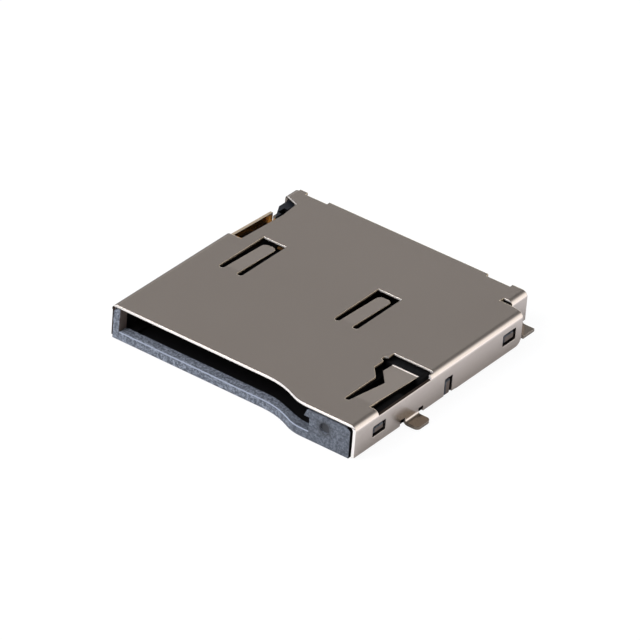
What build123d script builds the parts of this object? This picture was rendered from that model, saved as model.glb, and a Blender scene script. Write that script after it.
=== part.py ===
from build123d import *
from math import acos, asin, cos, degrees, hypot, radians, sin
import os

os.makedirs("parts", exist_ok=True)

# Millimetres. X runs across the card slot, Y from the card mouth to the solder tails, Z up from
# the board. X and Y start at the middle of the shell and housing, Z at the seating face.

# Card that the socket takes, and its clearances
CARD_WIDTH = 11.00
CARD_THICK = 0.70
CARD_SIDE_CLEARANCE = 0.12
CARD_TOP_CLEARANCE = 0.03
CARD_NOSE_STEP = 1.30
LOCK_TRAVEL = 2.60
OVER_PUSH = 0.60

# Overall sizes. The width follows from the card and the slider channel beside it.
DEPTH = 14.50
HEIGHT = 1.75
SHEET = 0.15
BEND_INSIDE = 0.15
FAR = 30.0

# Housing
HOUSING_FIT = 0.03
LID_GAP = 0.02
SIDE_WALL = 0.325
CHANNEL_WIDTH = 1.975
CHANNEL_WALL = 0.35
CHANNEL_FLOOR = 0.30
FLOOR = 0.43
BED = 0.30
BED_INSET = 0.60
BED_FROM_REAR = 4.55
LIP_CHAMFER = 0.04
TOP_CHAMFER = 0.11
REAR_WALL = 0.22
LEAD_IN_DEPTH = 0.50
LEAD_IN_SIDE = 0.02

# Stepped front edge of plate and lip
FRONT_STEP = 0.65
PLATE_SETBACK = 0.04
LEFT_WALL_SETBACK = 0.10
CHEEK_PROUD = 0.04
STEP_RADIUS_LEFT = 3.60
STEP_RADIUS_RIGHT = 2.00
LIP_STEP_INSET = 0.43
PLATE_STEP_INSET = 0.24

# Front block right of the slot, with places from the right side, the front and the plate
NIB_REACH = 0.31
NIB_SLANT_WIDTH = 0.19
NIB_LENGTH = 1.20
BLOCK_GAP = 0.08
BLOCK_GAP_DEPTH = 0.50
BLOCK_RADIUS = 0.20
DIMPLE_DIAMETER = 0.54
DIMPLE_DEPTH = 0.10
DIMPLE_FROM_SIDE = 1.65
DIMPLE_DOWN = 0.63

# Bent wire link and the heart track
WIRE = 0.24
PIVOT_FROM_SIDE = 1.075
PIVOT_FROM_FRONT = 0.90
PIVOT_CLEARANCE = 0.03
PIVOT_LEG_BOTTOM = 0.50
PIVOT_LEG_GAP = 0.05
ARM = 4.30
ARM_OVER_SLIDER = 0.02
ARM_UNDER_LEAF = 0.02
WIRE_BEND = 0.24
SWING_WIDTH = 0.85
LANE_CLEARANCE = 0.06
GROOVE_DEPTH = 0.35
GROOVE_FOOT_GAP = 0.03
FAN_CLEARANCE = 0.12
FAN_DROP = 0.02
ISLAND_REAR_GAP = 0.45
ISLAND_TAPER = 0.35
ISLAND_LOBE = 0.20
NOTCH_CLEARANCE = 0.02

# Slider
SLIDER_CLEARANCE = 0.05
SLIDER_END_WALL = 0.20
SLIDER_REST_GAP = 0.03
SLIDER_TAIL = 1.27
SLIDER_EDGE = 0.06
TOWER_CLEARANCE = 0.10
TOWER_FROM_GROOVE = 0.25
FOOT_STEP_DOWN = 0.02
FOOT_SETBACK = 2.915
FOOT_LENGTH = 1.60
FOOT_TIP_SETBACK = 0.10
FOOT_RADIUS = 0.15
FOOT_OVER_FLOOR = 0.03

# Spring and its stop
GUIDE_CLEARANCE = 0.30
GUIDE_WALL = 0.23
SPRING_STOP_FROM_REAR = 2.65
SPRING_WIRE = 0.12
SPRING_COILS = 10.5
SPRING_SIDES = 5
SPRING_CLEARANCE = 0.05
SPRING_END_GAP = 0.01
POCKET_WALL = 0.125
POCKET_END_WALL = 0.22
PEG_CLEARANCE = 0.08
PEG_LENGTH = 0.50

# Top of the channel wall under the leaf opening, from the front and down from the plate
WALL_STEP_HIGH_DOWN = 0.15
WALL_STEP_LOW_DOWN = 0.40
WALL_STEP_PLACES = (1.75, 3.95, 5.25)

# Shell walls
WALL_BOTTOM_FRONT = 0.10
WALL_BOTTOM_REAR = 0.07
LEFT_WALL_BOTTOM = 0.06
RIGHT_WALL_END_FROM_REAR = 1.60
RIGHT_WALL_CORNER = 0.40
LEFT_WALL_END_FROM_REAR = 1.90

# Windows of the right wall and the bosses in them, from front or rear and down from the top
BOSS_GAP = 0.14
BOSS_PROUD = 0.15
BOSS_CHAMFER = 0.04
FRONT_WINDOW_FROM_FRONT = (1.39, 2.37)
FRONT_WINDOW_DOWN = (1.21, 0.65)
REAR_WINDOW_FROM_REAR = (3.12, 2.09)
REAR_WINDOW_DOWN = (1.18, 0.56)
MIDDLE_WINDOW_FROM_FRONT = (6.86, 7.48)
MIDDLE_WINDOW_DOWN = 0.76
MIDDLE_STEP_LENGTH = 0.33
RIB_GAP = 0.14
RIB_TOP_GAP = 0.20
RIB_BOTTOM = 0.06
WINDOW_CORNER = 0.08

# Solder tabs, from the front and from the rear
TAB_FROM_FRONT = (3.90, 4.91)
TAB_RELIEF = 0.38
TAB_RELIEF_TOP = 0.40
TAB_REACH = 0.72
TAB_TIP_RADIUS = 0.22
LEG_FROM_REAR = (0.78, 0.12)

# Recessed wall at the rear right corner, from the right side and the rear
RECESS_FROM_SIDE = 0.885
RECESS_LENGTH = 1.20
RECESS_BOTTOM = 0.23
RECESS_FOOT_FROM_REAR = (1.11, 0.22)
RECESS_FOOT_END = 0.19
RELIEF_TIP = (1.42, 1.51)
RELIEF_ROOT = 1.37
RELIEF_SHOULDER = (0.775, 1.51)
RELIEF_OUTER = 0.215

# Rear tabs of the plate, from the left and the right side
REAR_TAB_FROM_LEFT = (0.965, 1.575)
REAR_TAB_FROM_RIGHT = (2.875, 1.985)
REAR_RELIEF_DEPTH = 0.20
REAR_RELIEF_NARROW = 0.24
REAR_RELIEF_WIDE = 0.42
REAR_TAB_BOTTOM = 0.50

# Notch at the left side of the plate, over the switch, from the left side and the rear
NOTCH_FROM_REAR = 5.38
NOTCH_INNER_FRONT = 0.905
NOTCH_INNER_MIDDLE = (1.065, 2.35)
NOTCH_INNER_REAR = (0.945, 1.17)
NOTCH_WALL_DOWN = (0.31, 0.47)

# Two leaf fingers of the plate, from the left side of the slot and from the rear
FINGER_FROM_SLOT = (1.73, 8.33)
FINGER_WIDTH = 0.74
FINGER_SLOT = 0.29
FINGER_FROM_REAR = (8.00, 4.53)
FINGER_TIP_GAP = 0.30
FINGER_DROP = 0.12
FINGER_TIP_RADIUS = 0.28
SLOT_END_ROUNDNESS = 0.98

# Side leaf over the link and its opening, from the right side and the front
LEAF_RIGHT = 0.555
LEAF_LEFT = 1.545
LEAF_ROOT = 1.79
LEAF_TIP = 5.54
LEAF_DROP = 0.20
LEAF_FLAT = 0.25
LEAF_NECK = (1.285, 3.94)
LEAF_TOE = (1.985, 4.76)
LEAF_GAP = 0.25
OPENING_SLOT_END = 1.56
OPENING_LEFT = 2.335
OPENING_KNEE = 4.56
OPENING_REAR = 6.07
OPENING_WALL_DOWN = 0.23
OPENING_WALL_REAR = 5.75
OPENING_NICK_DEPTH = 0.17
OPENING_NICK = (5.25, 5.67)
OPENING_NICK_SLANT = 0.10

# Card contacts, from the left side of the slot and from the rear
CONTACT_COUNT = 8
CONTACT_PITCH = 1.10
CONTACT_FROM_SLOT = 1.12
CONTACT_WIDTH = 0.40
CONTACT_THICK = 0.10
CONTACT_BEND = 0.12
CONTACT_TAIL = 0.68
CONTACT_RISE = (0.35, 0.75)
CONTACT_ROOT_Z = 0.18
CONTACT_FREE_FROM_REAR = 1.15
CONTACT_CREST_FROM_REAR = 2.70
CONTACT_CREST_PROUD = 0.17
CONTACT_TIP_FROM_REAR = 3.20
CONTACT_TIP_PROUD = 0.01
CONTACT_POCKET_WIDTH = 0.60
CONTACT_POCKET_FROM_REAR = (3.40, 1.05)
CONTACT_POCKET_FLOOR = 0.10

# Card switch at the left wall, from the side of the housing and from the rear
SWITCH_FROM_REAR = (5.15, 1.35)
SWITCH_OVER_FLOOR = 0.17
SWITCH_UNDER_CARD = 0.08
CORNER_DOWN = 0.15
CORNER_INNER = 0.495
CORNER_FROM_REAR = (2.43, 1.49)
CORNER_POCKET = (0.285, 0.745)
CORNER_POCKET_FROM_REAR = (1.95, 1.47)
CORNER_POCKET_BOTTOM = 0.80
BLADE_THICK = 0.12
BLADE_BEND = 0.30
BLADE_ROOT_INSET = 0.245
BLADE_BULGE_INSET = 0.625
BLADE_TIP_INSET = 0.365
BLADE_TIP_FROM_REAR = 4.80
BLADE_BULGE_FROM_REAR = (3.95, 3.65)
BLADE_KINK_FROM_REAR = 1.95
BLADE_LEG_FROM_REAR = (1.05, 0.65)
BLADE_TAIL_REACH = 0.40
BLADE_TAIL_TOP = 0.35
TERMINAL_INSET = 0.015
TERMINAL_THICK = 0.12
TERMINAL_FROM_REAR = (5.65, 5.20)
TERMINAL_PADDLE = 0.80
TERMINAL_TAIL_REACH = 0.475
TERMINAL_WALL_GAP = 0.12

# Sizes that follow from the ones above
SLOT_WIDTH = CARD_WIDTH + 2 * CARD_SIDE_CLEARANCE
WIDTH = 2 * (SHEET + HOUSING_FIT) + SIDE_WALL + SLOT_WIDTH + CHANNEL_WIDTH + CHANNEL_WALL
HALF_WIDTH = WIDTH / 2
FRONT = -DEPTH / 2
REAR = DEPTH / 2
PLATE_BELOW = HEIGHT - SHEET
BEND_OUTSIDE = BEND_INSIDE + SHEET
HOUSING_SIDE = HALF_WIDTH - SHEET - HOUSING_FIT
HOUSING_TOP = PLATE_BELOW - LID_GAP
HOUSING_REAR = REAR - SHEET - HOUSING_FIT
PLATE_FRONT = FRONT + PLATE_SETBACK
SLOT_LEFT = SIDE_WALL - HOUSING_SIDE
SLOT_RIGHT = SLOT_LEFT + SLOT_WIDTH
REAR_INNER = HOUSING_REAR - REAR_WALL
CARD_CEILING = FLOOR + CARD_THICK + CARD_TOP_CLEARANCE
NOSE_RIGHT = SLOT_RIGHT - CARD_SIDE_CLEARANCE - CARD_NOSE_STEP
STEP_ANGLE = degrees(acos(1 - FRONT_STEP / (STEP_RADIUS_LEFT + STEP_RADIUS_RIGHT)))
STEP_RUN = (STEP_RADIUS_LEFT + STEP_RADIUS_RIGHT) * sin(radians(STEP_ANGLE))
ARM_Z = PLATE_BELOW - LEAF_DROP - ARM_UNDER_LEAF - WIRE / 2
SLIDER_TOP = ARM_Z - WIRE / 2 - ARM_OVER_SLIDER
SLIDER_BOTTOM = CHANNEL_FLOOR + SLIDER_CLEARANCE
TOWER_TOP = PLATE_BELOW - TOWER_CLEARANCE
TRAVEL = LOCK_TRAVEL + OVER_PUSH
SWING = degrees(asin(SWING_WIDTH / ARM))
PIVOT_X = HALF_WIDTH - PIVOT_FROM_SIDE
PIVOT_Y = FRONT + PIVOT_FROM_FRONT
TIP_Y = PIVOT_Y + ARM
LANE = WIRE + 2 * LANE_CLEARANCE
OUT_X = PIVOT_X - SWING_WIDTH
LOCK_X = (PIVOT_X + OUT_X) / 2
LOCK_Y = TIP_Y - LOCK_TRAVEL - ARM * (1 - cos(asin((PIVOT_X - LOCK_X) / ARM)))
GROOVE_FRONT = TIP_Y - TRAVEL - ARM * (1 - cos(radians(SWING))) - LANE / 2
GROOVE_REAR = TIP_Y + LANE / 2
GROOVE_FLOOR = SLIDER_TOP - GROOVE_DEPTH
SLIDER_FRONT = GROOVE_FRONT - SLIDER_END_WALL
SLIDER_REAR = GROOVE_REAR + SLIDER_TAIL
TOWER_FRONT = GROOVE_REAR + TOWER_FROM_GROOVE
BLOCK_REAR = SLIDER_FRONT - SLIDER_REST_GAP
CHANNEL_RIGHT = HOUSING_SIDE - CHANNEL_WALL
CHANNEL_LEFT = SLOT_RIGHT + GUIDE_WALL
GUIDE_FRONT = SLIDER_REAR + TRAVEL + GUIDE_CLEARANCE
SPRING_STOP = REAR - SPRING_STOP_FROM_REAR
SPRING_X = (CHANNEL_LEFT + CHANNEL_RIGHT) / 2
SPRING_Z = (SLIDER_BOTTOM + TOWER_TOP) / 2
POCKET_DIAMETER = TOWER_TOP - SLIDER_BOTTOM - 2 * POCKET_WALL
POCKET_BOTTOM = TOWER_FRONT + POCKET_END_WALL
SPRING_OUTSIDE = POCKET_DIAMETER - 2 * SPRING_CLEARANCE
PEG_DIAMETER = SPRING_OUTSIDE - 2 * SPRING_WIRE - 2 * PEG_CLEARANCE
RIGHT_WALL_END = REAR - RIGHT_WALL_END_FROM_REAR
RECESS_X = HALF_WIDTH - RECESS_FROM_SIDE
RECESS_FRONT = REAR - RECESS_LENGTH
SWITCH_Z = (FLOOR + SWITCH_OVER_FLOOR, FLOOR + CARD_THICK - SWITCH_UNDER_CARD)


def slab(x0, x1, y0, y1, z0, z1):
    """Box between two planes of each axis."""
    return Pos(x0, y0, z0) * Box(x1 - x0, y1 - y0, z1 - z0, align=(Align.MIN, Align.MIN, Align.MIN))


def outline(points, radii=None):
    """Closed face through the corners, each rounded by its own radius."""
    if radii is None:
        return make_face(Polyline(*points, close=True))
    return make_face(FilletPolyline(*points, radius=radii, close=True))


def prism(face, z0, z1):
    """Face of the XY plane, extruded upright."""
    return extrude(Pos(0, 0, z0) * face, z1 - z0, dir=(0, 0, 1))


def along_y(face, y0, y1):
    """Face drawn in X and Z, extruded along Y."""
    place = Plane(origin=(0, y0, 0), x_dir=(1, 0, 0), z_dir=(0, -1, 0))
    return extrude(place * face, y1 - y0, dir=(0, 1, 0))


def along_x(face, x0, x1):
    """Face drawn in Y and Z, extruded along X."""
    place = Plane(origin=(x0, 0, 0), x_dir=(0, 1, 0), z_dir=(1, 0, 0))
    return extrude(place * face, x1 - x0, dir=(1, 0, 0))


def mitre(points, thickness):
    """The same line moved to its left by the thickness, with mitred corners."""
    moved = []
    last = len(points) - 1
    for i, (x, y) in enumerate(points):
        ahead = points[min(i + 1, last)]
        behind = points[max(i - 1, 0)]
        here = (x, y)
        into = (here[0] - behind[0], here[1] - behind[1]) if i > 0 else None
        out = (ahead[0] - here[0], ahead[1] - here[1]) if i < last else None
        into = into or out
        out = out or into
        length_in = hypot(*into)
        length_out = hypot(*out)
        normal_in = (-into[1] / length_in, into[0] / length_in)
        normal_out = (-out[1] / length_out, out[0] / length_out)
        total = (normal_in[0] + normal_out[0], normal_in[1] + normal_out[1])
        scale = thickness / (total[0] * normal_in[0] + total[1] * normal_in[1])
        moved.append((x + total[0] * scale, y + total[1] * scale))
    return moved


def bent(points, thickness, inside):
    """Section of a bent sheet. The line is one side, the thickness lies on its left."""
    moved = mitre(points, thickness)
    near = [0.0]
    away = [0.0]
    for before, here, after in zip(points, points[1:], points[2:]):
        turn = (here[0] - before[0]) * (after[1] - here[1]) - (here[1] - before[1]) * (after[0] - here[0])
        near.append(inside + thickness if turn > 0 else inside)
        away.append(inside if turn > 0 else inside + thickness)
    near.append(0.0)
    away.append(0.0)
    return outline(points + moved[::-1], near + away[::-1])


def front_region(step_end, setback):
    """Everything in front of the stepped edge that plate and lip share."""
    left = FRONT + FRONT_STEP + setback
    right = FRONT + setback
    start = step_end - STEP_RUN
    half = radians(STEP_ANGLE) / 2
    full = radians(STEP_ANGLE)

    def falling(angle):
        return (start + STEP_RADIUS_LEFT * sin(angle), left - STEP_RADIUS_LEFT * (1 - cos(angle)))

    def settling(angle):
        return (step_end - STEP_RADIUS_RIGHT * sin(angle), right + STEP_RADIUS_RIGHT * (1 - cos(angle)))

    edges = [
        Line((-FAR, left), (start, left)),
        ThreePointArc((start, left), falling(half), falling(full)),
        ThreePointArc(falling(full), settling(half), (step_end, right)),
        Line((step_end, right), (FAR, right)),
        Line((FAR, right), (FAR, -FAR)),
        Line((FAR, -FAR), (-FAR, -FAR)),
        Line((-FAR, -FAR), (-FAR, left)),
    ]
    return prism(make_face(edges), -FAR, FAR)


def solder_tab(y0, y1, root):
    """Right-hand tab bent outwards from the bottom of the wall, lying on the board."""
    inner = HALF_WIDTH - SHEET
    end = HALF_WIDTH + TAB_REACH
    sheet = along_y(bent([(inner, root), (inner, 0), (end, 0)], SHEET, BEND_INSIDE), y0, y1)
    corners = [(inner, y0), (end, y0), (end, y1), (inner, y1)]
    return sheet & prism(outline(corners, [0, TAB_TIP_RADIUS, TAB_TIP_RADIUS, 0]), 0, root)


def finger(x):
    """One leaf finger: the window to cut and the tongue to add."""
    half = FINGER_WIDTH / 2
    outer = half + FINGER_SLOT
    front, rear = [REAR - y for y in FINGER_FROM_REAR]
    round_end = FINGER_SLOT / 2
    window = slab(x - outer, x + outer, front + FINGER_SLOT, rear, -FAR, FAR)
    for side in (-1, 1):
        centre = x + side * (half + round_end)
        slot = [
            (centre - round_end, front), (centre + round_end, front),
            (centre + round_end, rear), (centre - round_end, rear),
        ]
        end = round_end * SLOT_END_ROUNDNESS
        window += prism(outline(slot, [end, end, 0, 0]), -FAR, FAR)
    tip = rear - FINGER_TIP_GAP
    line = [(tip, HEIGHT - FINGER_DROP), (front + FINGER_SLOT, HEIGHT), (front - FINGER_SLOT, HEIGHT)]
    sheet = along_x(bent(line, SHEET, BEND_INSIDE), x - half, x + half)
    root = front - FINGER_SLOT
    shape = [(x - half, root), (x + half, root), (x + half, tip), (x - half, tip)]
    tongue = sheet & prism(outline(shape, [0, 0, FINGER_TIP_RADIUS, FINGER_TIP_RADIUS]), 0, FAR)
    return window & slab(-FAR, FAR, -FAR, FAR, PLATE_BELOW - SHEET, FAR), tongue


def leaf():
    """Side leaf: the opening to cut and the tongue to add."""
    left = HALF_WIDTH - LEAF_LEFT
    right = HALF_WIDTH - LEAF_RIGHT
    slot_left = left - LEAF_GAP
    open_left = HALF_WIDTH - OPENING_LEFT
    open_front = FRONT + OPENING_SLOT_END
    open_rear = FRONT + OPENING_REAR
    root = FRONT + LEAF_ROOT
    tip = FRONT + LEAF_TIP
    neck = (HALF_WIDTH - LEAF_NECK[0], FRONT + LEAF_NECK[1])
    toe = (HALF_WIDTH - LEAF_TOE[0], FRONT + LEAF_TOE[1])
    nick_front, nick_rear = [FRONT + y for y in OPENING_NICK]
    nick_left = open_left - OPENING_NICK_DEPTH
    corners = [
        (slot_left, open_front), (left, open_front), (left, root), (FAR, root), (FAR, open_rear),
        (open_left, open_rear), (open_left, nick_rear), (nick_left, nick_rear - OPENING_NICK_SLANT),
        (nick_left, nick_front + OPENING_NICK_SLANT), (open_left, nick_front),
        (open_left, FRONT + OPENING_KNEE), (slot_left, neck[1]),
    ]
    end = LEAF_GAP / 2 * SLOT_END_ROUNDNESS
    hole = prism(outline(corners, [end, end] + [0] * (len(corners) - 2)), PLATE_BELOW - BEND_INSIDE, FAR)
    inside = HALF_WIDTH - SHEET
    hole -= slab(inside, FAR, -FAR, FAR, -FAR, HEIGHT - OPENING_WALL_DOWN)
    hole -= slab(inside, FAR, FRONT + OPENING_WALL_REAR, FAR, -FAR, FAR)
    line = [(tip, HEIGHT - LEAF_DROP), (root + LEAF_FLAT, HEIGHT), (open_front, HEIGHT)]
    sheet = along_x(bent(line, SHEET, BEND_INSIDE), toe[0] - SHEET, right)
    shape = [(left, open_front), (right, open_front), (right, tip), (toe[0], tip), toe, neck]
    return hole, sheet & prism(outline(shape), 0, FAR)


def rear_tab(x0, x1):
    """Tab of the plate bent down behind the housing."""
    line = [(REAR, REAR_TAB_BOTTOM), (REAR, HEIGHT), (REAR - REAR_RELIEF_DEPTH - SHEET, HEIGHT)]
    return along_x(bent(line, SHEET, BEND_INSIDE), x0, x1)


def window_places():
    """Y and Z limits of the two closed windows of the right wall."""
    front = [FRONT + y for y in FRONT_WINDOW_FROM_FRONT]
    rear = [REAR - y for y in REAR_WINDOW_FROM_REAR]
    front_z = [HEIGHT - z for z in FRONT_WINDOW_DOWN]
    rear_z = [HEIGHT - z for z in REAR_WINDOW_DOWN]
    return [(*front, *front_z), (*rear, *rear_z)]


def recessed_wall():
    """Short wall set in at the rear right corner, with its foot on the board."""
    foot_end = HALF_WIDTH - RECESS_FOOT_END
    line = [(foot_end, SHEET), (RECESS_X, SHEET), (RECESS_X, HEIGHT), (HALF_WIDTH - RELIEF_TIP[0], HEIGHT)]
    wall = along_y(bent(line, SHEET, BEND_INSIDE), RECESS_FRONT, REAR)
    foot_front, foot_rear = [REAR - y for y in RECESS_FOOT_FROM_REAR]
    wall -= slab(0, FAR, -FAR, foot_front, -FAR, RECESS_BOTTOM)
    wall -= slab(0, FAR, foot_rear, FAR, -FAR, RECESS_BOTTOM)
    wall -= slab(RECESS_X, FAR, -FAR, foot_front, -FAR, PLATE_BELOW)
    wall -= slab(RECESS_X, FAR, foot_rear, FAR, -FAR, PLATE_BELOW)
    return wall


def make_shell():
    """One folded sheet: plate, walls, tabs, fingers and leaf."""
    side = HALF_WIDTH
    inner = side - SHEET
    path = [(side, WALL_BOTTOM_REAR), (side, HEIGHT), (-side, HEIGHT), (-side, WALL_BOTTOM_REAR)]
    body = along_y(bent(path, SHEET, BEND_INSIDE), PLATE_FRONT, REAR)
    body -= front_region(SLOT_RIGHT - PLATE_STEP_INSET, PLATE_SETBACK)
    body -= slab(-FAR, -inner, -FAR, FRONT + FRONT_STEP + LEFT_WALL_SETBACK, -FAR, HEIGHT - BEND_OUTSIDE)

    # Lower edges of both walls
    tab_front, tab_rear = [FRONT + y for y in TAB_FROM_FRONT]
    rib_front, rib_rear = [FRONT + y for y in MIDDLE_WINDOW_FROM_FRONT]
    body -= slab(0, FAR, -FAR, rib_rear + MIDDLE_STEP_LENGTH, -FAR, WALL_BOTTOM_FRONT)
    body -= slab(-FAR, 0, -FAR, FAR, -FAR, LEFT_WALL_BOTTOM)
    relief = outline(
        [
            (tab_front - TAB_RELIEF, -FAR), (tab_rear + TAB_RELIEF, -FAR),
            (tab_rear + TAB_RELIEF, TAB_RELIEF_TOP), (tab_front - TAB_RELIEF, TAB_RELIEF_TOP),
        ],
        [0, 0, WINDOW_CORNER, WINDOW_CORNER],
    )
    body -= along_x(relief, -FAR, FAR)

    # Rear end of the right wall, and the cut that frees the recessed wall
    corner_y = RIGHT_WALL_END - RIGHT_WALL_CORNER
    corner_z = WALL_BOTTOM_REAR + RIGHT_WALL_CORNER
    corner = slab(0, FAR, corner_y, RIGHT_WALL_END, -FAR, corner_z)
    body -= corner - along_x(Pos(corner_y, corner_z) * Circle(RIGHT_WALL_CORNER), 0, FAR)
    root = side - RELIEF_ROOT
    freed = outline(
        [
            (FAR, RIGHT_WALL_END), (side - RELIEF_OUTER, RIGHT_WALL_END),
            (side - RELIEF_SHOULDER[0], REAR - RELIEF_SHOULDER[1]),
            (side - RELIEF_TIP[0], REAR - RELIEF_TIP[1]), (root, RECESS_FRONT), (root, FAR), (FAR, FAR),
        ],
    )
    body -= prism(freed, -FAR, FAR)
    body += recessed_wall()

    # Rear tabs with their relief notches
    tab_left = [x - side for x in REAR_TAB_FROM_LEFT]
    tab_right = [side - x for x in REAR_TAB_FROM_RIGHT]
    for (x0, x1), outer_relief in ((tab_left, REAR_RELIEF_WIDE), (tab_right, REAR_RELIEF_NARROW)):
        body -= slab(x0 - REAR_RELIEF_NARROW, x1 + outer_relief, REAR - REAR_RELIEF_DEPTH, FAR, -FAR, FAR)
        body += rear_tab(x0, x1)

    # Left notch: the plate is open, the wall goes on with a sloping top and ends early
    leg_front, leg_rear = [REAR - y for y in LEG_FROM_REAR]
    notch_front = REAR - NOTCH_FROM_REAR
    wall_end_y = REAR - LEFT_WALL_END_FROM_REAR
    top_front, top_rear = [HEIGHT - z for z in NOTCH_WALL_DOWN]
    notch = outline(
        [
            (-FAR, notch_front), (NOTCH_INNER_FRONT - side, notch_front),
            (NOTCH_INNER_MIDDLE[0] - side, REAR - NOTCH_INNER_MIDDLE[1]),
            (NOTCH_INNER_REAR[0] - side, REAR - NOTCH_INNER_REAR[1]), (-side, leg_front), (-FAR, leg_front),
        ],
    )
    kept = outline(
        [
            (notch_front - SHEET, -FAR), (wall_end_y, -FAR), (wall_end_y, top_rear),
            (notch_front, top_front), (notch_front - SHEET, top_front),
        ],
    )
    body -= prism(notch, -FAR, FAR) - along_x(kept, -FAR, -inner)
    body -= slab(-FAR, -side + BEND_OUTSIDE, leg_rear, FAR, -FAR, FAR)
    terminal_front, terminal_rear = [REAR - y for y in TERMINAL_FROM_REAR]
    body -= slab(
        -FAR, -inner, terminal_front - TERMINAL_WALL_GAP, terminal_rear + TERMINAL_WALL_GAP,
        -FAR, TERMINAL_THICK + TERMINAL_WALL_GAP,
    )

    # Solder tabs
    front_tab = solder_tab(tab_front, tab_rear, TAB_RELIEF_TOP + SHEET)
    leg_tab = solder_tab(leg_front, leg_rear, TAB_RELIEF_TOP + SHEET)
    body += front_tab
    body += mirror(front_tab + leg_tab, about=Plane.YZ)

    # Windows of the right wall
    for y0, y1, z0, z1 in window_places():
        shape = outline([(y0, z0), (y1, z0), (y1, z1), (y0, z1)], [WINDOW_CORNER] * 4)
        body -= along_x(shape, inner - SHEET, FAR)
    rib_top = HEIGHT - MIDDLE_WINDOW_DOWN
    shape = outline(
        [(rib_front, -FAR), (rib_rear, -FAR), (rib_rear, rib_top), (rib_front, rib_top)],
        [0, 0, WINDOW_CORNER, WINDOW_CORNER],
    )
    body -= along_x(shape, inner - SHEET, FAR)

    # Fingers and side leaf
    for hole, tongue in [finger(SLOT_LEFT + x) for x in FINGER_FROM_SLOT] + [leaf()]:
        body -= hole
        body += tongue
    return body


def contact_section():
    """Side view of one card contact, tail to tip."""
    thick = CONTACT_THICK
    rise_rear, rise_front = [REAR - y for y in CONTACT_RISE]
    return bent(
        [
            (HOUSING_REAR + CONTACT_TAIL, thick), (rise_rear, thick),
            (rise_front, CONTACT_ROOT_Z + thick), (REAR - CONTACT_FREE_FROM_REAR, CONTACT_ROOT_Z + thick),
            (REAR - CONTACT_CREST_FROM_REAR, FLOOR + CONTACT_CREST_PROUD),
            (REAR - CONTACT_TIP_FROM_REAR, FLOOR + CONTACT_TIP_PROUD),
        ],
        thick, CONTACT_BEND,
    )


def contact_x(index):
    """Middle of one card contact."""
    return SLOT_LEFT + CONTACT_FROM_SLOT + index * CONTACT_PITCH


def make_contact(index):
    """One sprung card contact with its solder tail."""
    half = CONTACT_WIDTH / 2
    return along_x(contact_section(), contact_x(index) - half, contact_x(index) + half)


def make_blade():
    """Moving blade of the card switch, standing on edge."""
    root = BLADE_ROOT_INSET - HOUSING_SIDE
    bulge = BLADE_BULGE_INSET - HOUSING_SIDE
    bulge_front, bulge_rear = [REAR - y for y in BLADE_BULGE_FROM_REAR]
    leg_front, leg_rear = [REAR - y for y in BLADE_LEG_FROM_REAR]
    path = [
        (BLADE_TIP_INSET - HOUSING_SIDE, REAR - BLADE_TIP_FROM_REAR), (bulge, bulge_front), (bulge, bulge_rear),
        (root, REAR - BLADE_KINK_FROM_REAR), (root, leg_rear),
    ]
    spring_arm = prism(bent(path, BLADE_THICK, BLADE_BEND), *SWITCH_Z)
    outer = root - BLADE_THICK
    leg = slab(outer, root, leg_front, leg_rear, 0, SWITCH_Z[0])
    tail = slab(outer, root, leg_front, REAR + BLADE_TAIL_REACH, 0, BLADE_TAIL_TOP)
    return spring_arm + leg + tail


def make_terminal():
    """Fixed contact of the card switch with its tail under the left wall."""
    outer = TERMINAL_INSET - HOUSING_SIDE
    low, high = SWITCH_Z
    front, rear = [REAR - y for y in TERMINAL_FROM_REAR]
    line = [(outer, high), (outer, TERMINAL_THICK), (-HALF_WIDTH - TERMINAL_TAIL_REACH, TERMINAL_THICK)]
    body = along_y(bent(line, TERMINAL_THICK, BEND_INSIDE), front, rear)
    return body + slab(outer, outer + TERMINAL_THICK, front, rear + TERMINAL_PADDLE, low, high)


def fan():
    """Room for the arm of the link on top of the front block."""
    half = WIRE / 2 + FAN_CLEARANCE
    sweep_left = (BLOCK_REAR - PIVOT_Y) / ARM * SWING_WIDTH
    points = [
        (PIVOT_X - half, PIVOT_Y - half), (PIVOT_X + half, PIVOT_Y - half),
        (PIVOT_X + half, BLOCK_REAR + half), (PIVOT_X - half - sweep_left, BLOCK_REAR + half),
        (PIVOT_X - half - sweep_left, BLOCK_REAR), (PIVOT_X - half, PIVOT_Y),
    ]
    floor = ARM_Z - WIRE_BEND - FAN_DROP
    hole = Pos(PIVOT_X, PIVOT_Y, PIVOT_LEG_BOTTOM - PIVOT_LEG_GAP) * Cylinder(
        WIRE / 2 + PIVOT_CLEARANCE, HEIGHT, align=(Align.CENTER, Align.CENTER, Align.MIN)
    )
    return prism(outline(points), floor, FAR) + hole


def block_surround():
    """Dark gap between the front block and the shell, with the block's rounded corner."""
    left = SLOT_RIGHT - NIB_REACH - SHEET
    right = HOUSING_SIDE - BLOCK_GAP
    top = PLATE_BELOW - BLOCK_GAP
    face = outline([(left, -FAR), (right, -FAR), (right, top), (left, top)], [0, 0, BLOCK_RADIUS, 0])
    rear = FRONT + BLOCK_GAP_DEPTH
    return slab(left, FAR, -FAR, rear, 0, FAR) - along_y(face, -FAR, rear)


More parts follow.
